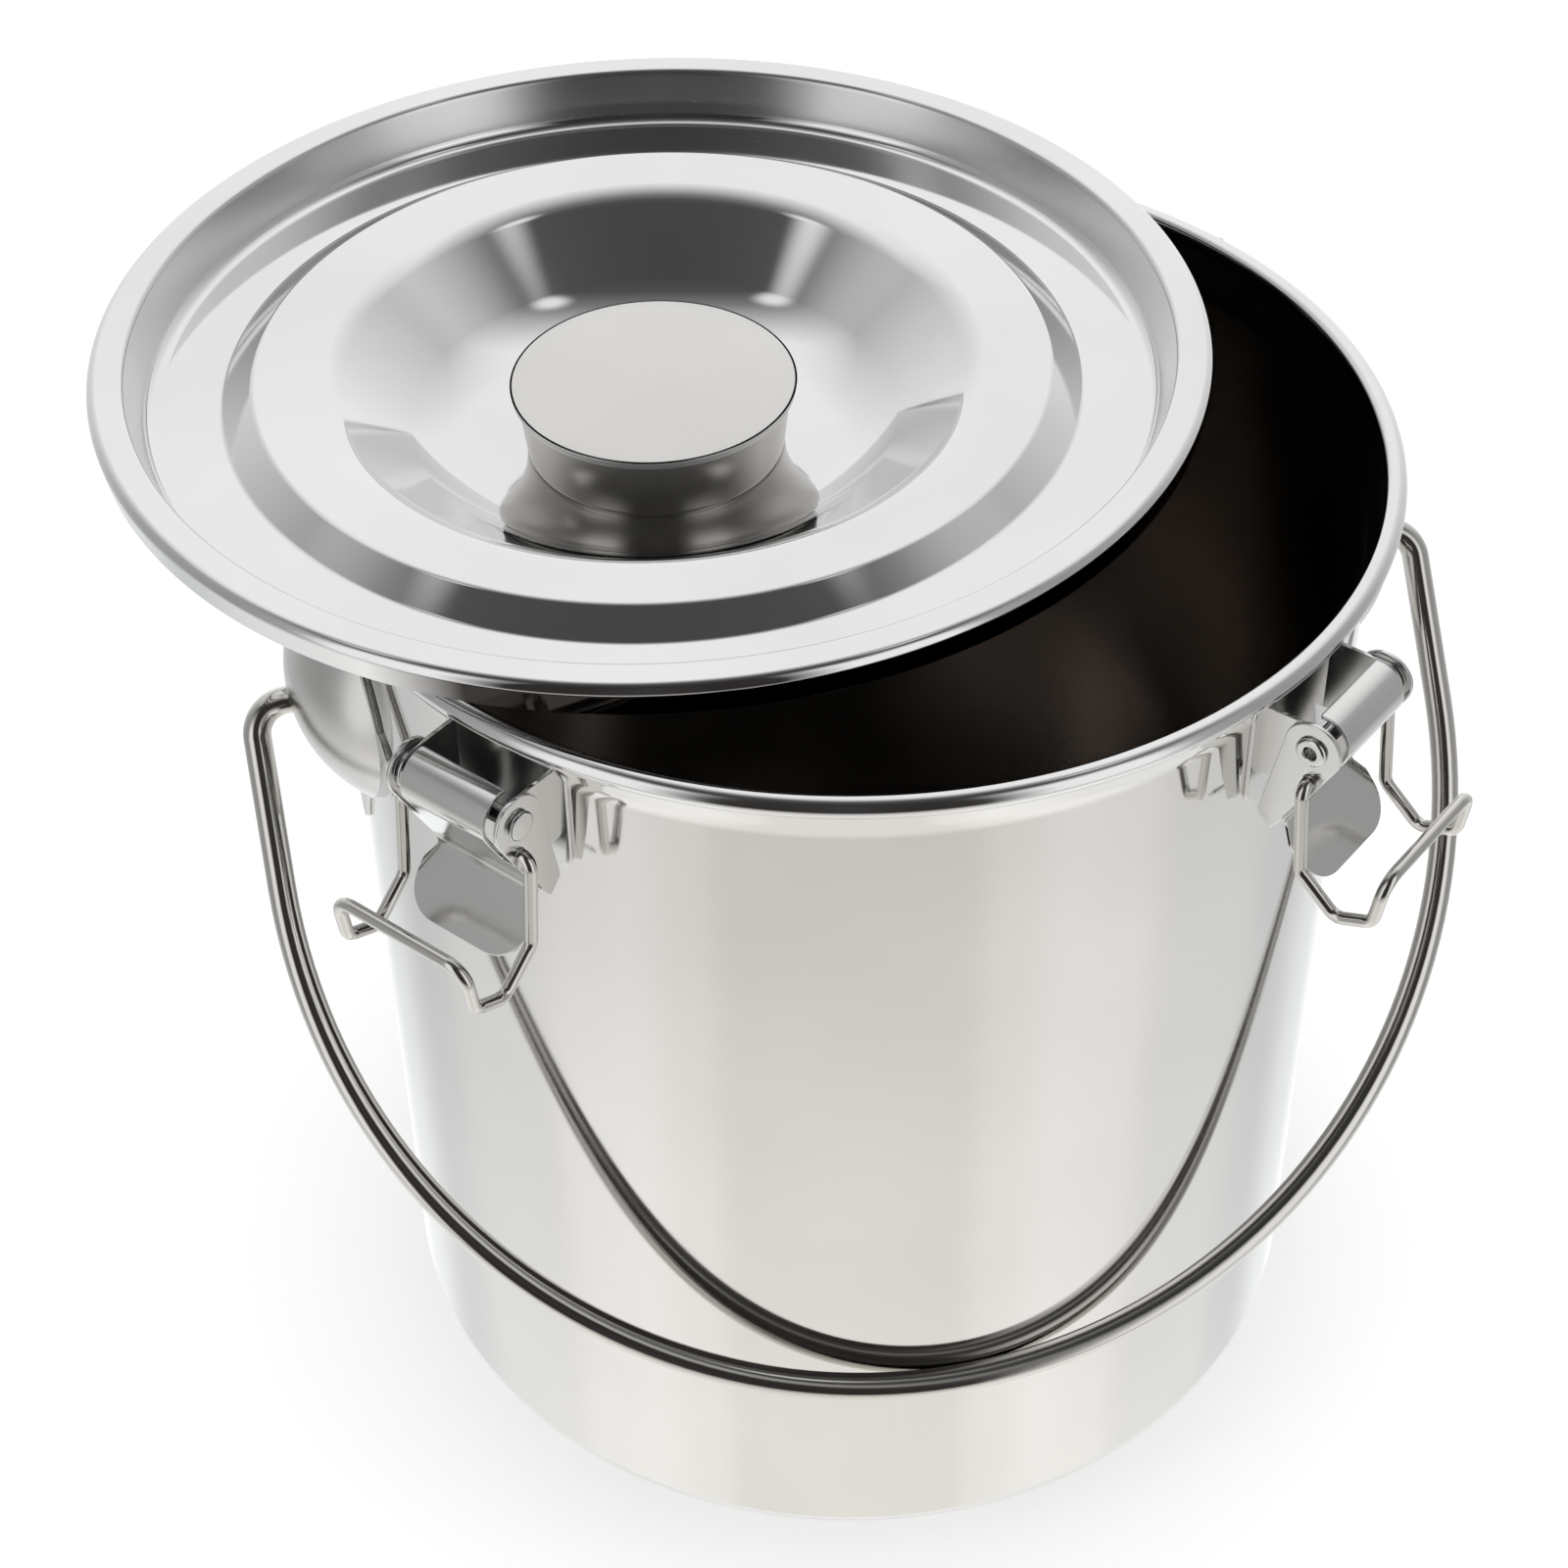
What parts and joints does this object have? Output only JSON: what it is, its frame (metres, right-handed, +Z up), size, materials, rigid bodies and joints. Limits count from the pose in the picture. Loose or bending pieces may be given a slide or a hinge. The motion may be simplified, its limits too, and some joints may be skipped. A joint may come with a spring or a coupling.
{
  "type": "milk pail",
  "caption": "Straight-sided steel pail with a swinging bail handle, wire-loop toggle latches round the rolled rim and a loose dished lid with a knob.",
  "frame": {"origin": "centre of the pail's base, on the plane that it stands on", "axes": "+Z up along the pail's axis, +X along the bail's hinge axis, the bail hangs on the -Y side"},
  "size_m": [0.263, 0.2479, 0.2211],
  "materials": {
    "polished_sheet": "mirror-polished stainless steel sheet",
    "satin_sheet": "satin stainless steel",
    "latch_sheet": "bright stainless steel sheet",
    "wire": "polished stainless steel wire",
    "seal": "pale silicone"
  },
  "bodies": {
    "pail": {"pail_body": "polished_sheet", "bail_ear_right": "satin_sheet", "bail_ear_left": "satin_sheet", "latch_base_1": "latch_sheet", "latch_base_2": "latch_sheet", "latch_base_3": "latch_sheet", "latch_base_4": "latch_sheet", "latch_rivet_1": "latch_sheet", "latch_rivet_2": "latch_sheet", "latch_rivet_3": "latch_sheet", "latch_rivet_4": "latch_sheet"},
    "bail": {"bail_handle": "wire"},
    "lid": {"lid_shell": "polished_sheet", "lid_seal": "seal", "knob_cup": "satin_sheet", "knob_cap": "satin_sheet", "knob_washer": "satin_sheet", "knob_screw": "satin_sheet"},
    "lever_1": {"latch_lever_1": "latch_sheet"},
    "lever_2": {"latch_lever_2": "latch_sheet"},
    "lever_3": {"latch_lever_3": "latch_sheet"},
    "lever_4": {"latch_lever_4": "latch_sheet"},
    "loop_1": {"latch_loop_1": "wire"},
    "loop_2": {"latch_loop_2": "wire"},
    "loop_3": {"latch_loop_3": "wire"},
    "loop_4": {"latch_loop_4": "wire"}
  },
  "joints": [
    {"name": "bail_swing", "type": "hinge", "parent": "pail", "child": "bail", "pos_m": [0, 0, 0.1665], "axis": [-1, 0, 0], "range_deg": [0, 85]},
    {"name": "lever_1", "type": "hinge", "parent": "pail", "child": "lever_1", "pos_m": [0.08618, 0.06979, 0.1971], "axis": [0.6293, -0.7771, 0], "range_deg": [0, 100]},
    {"name": "loop_1", "type": "hinge", "parent": "lever_1", "child": "loop_1", "pos_m": [0.08634, 0.06992, 0.1902], "axis": [0.6293, -0.7771, 0], "range_deg": [0, 115]},
    {"name": "lever_2", "type": "hinge", "parent": "pail", "child": "lever_2", "pos_m": [-0.06979, 0.08618, 0.1971], "axis": [0.7771, 0.6293, 0], "range_deg": [0, 60]},
    {"name": "loop_2", "type": "hinge", "parent": "lever_2", "child": "loop_2", "pos_m": [-0.06992, 0.08634, 0.1902], "axis": [0.7771, 0.6293, 0], "range_deg": [0, 72]},
    {"name": "lever_3", "type": "hinge", "parent": "pail", "child": "lever_3", "pos_m": [-0.08618, -0.06979, 0.1971], "axis": [-0.6293, 0.7771, 0], "range_deg": [0, 100]},
    {"name": "loop_3", "type": "hinge", "parent": "lever_3", "child": "loop_3", "pos_m": [-0.08634, -0.06992, 0.1902], "axis": [-0.6293, 0.7771, 0], "range_deg": [0, 100]},
    {"name": "lever_4", "type": "hinge", "parent": "pail", "child": "lever_4", "pos_m": [0.06979, -0.08618, 0.1971], "axis": [-0.7771, -0.6293, 0], "range_deg": [0, 100]},
    {"name": "loop_4", "type": "hinge", "parent": "lever_4", "child": "loop_4", "pos_m": [0.06992, -0.08634, 0.1902], "axis": [-0.7771, -0.6293, 0], "range_deg": [0, 115]},
    {"name": "lid_lift", "type": "slide", "parent": "pail", "child": "lid", "axis": [0, 0, 1], "range_m": [0, 0.15]}
  ]
}
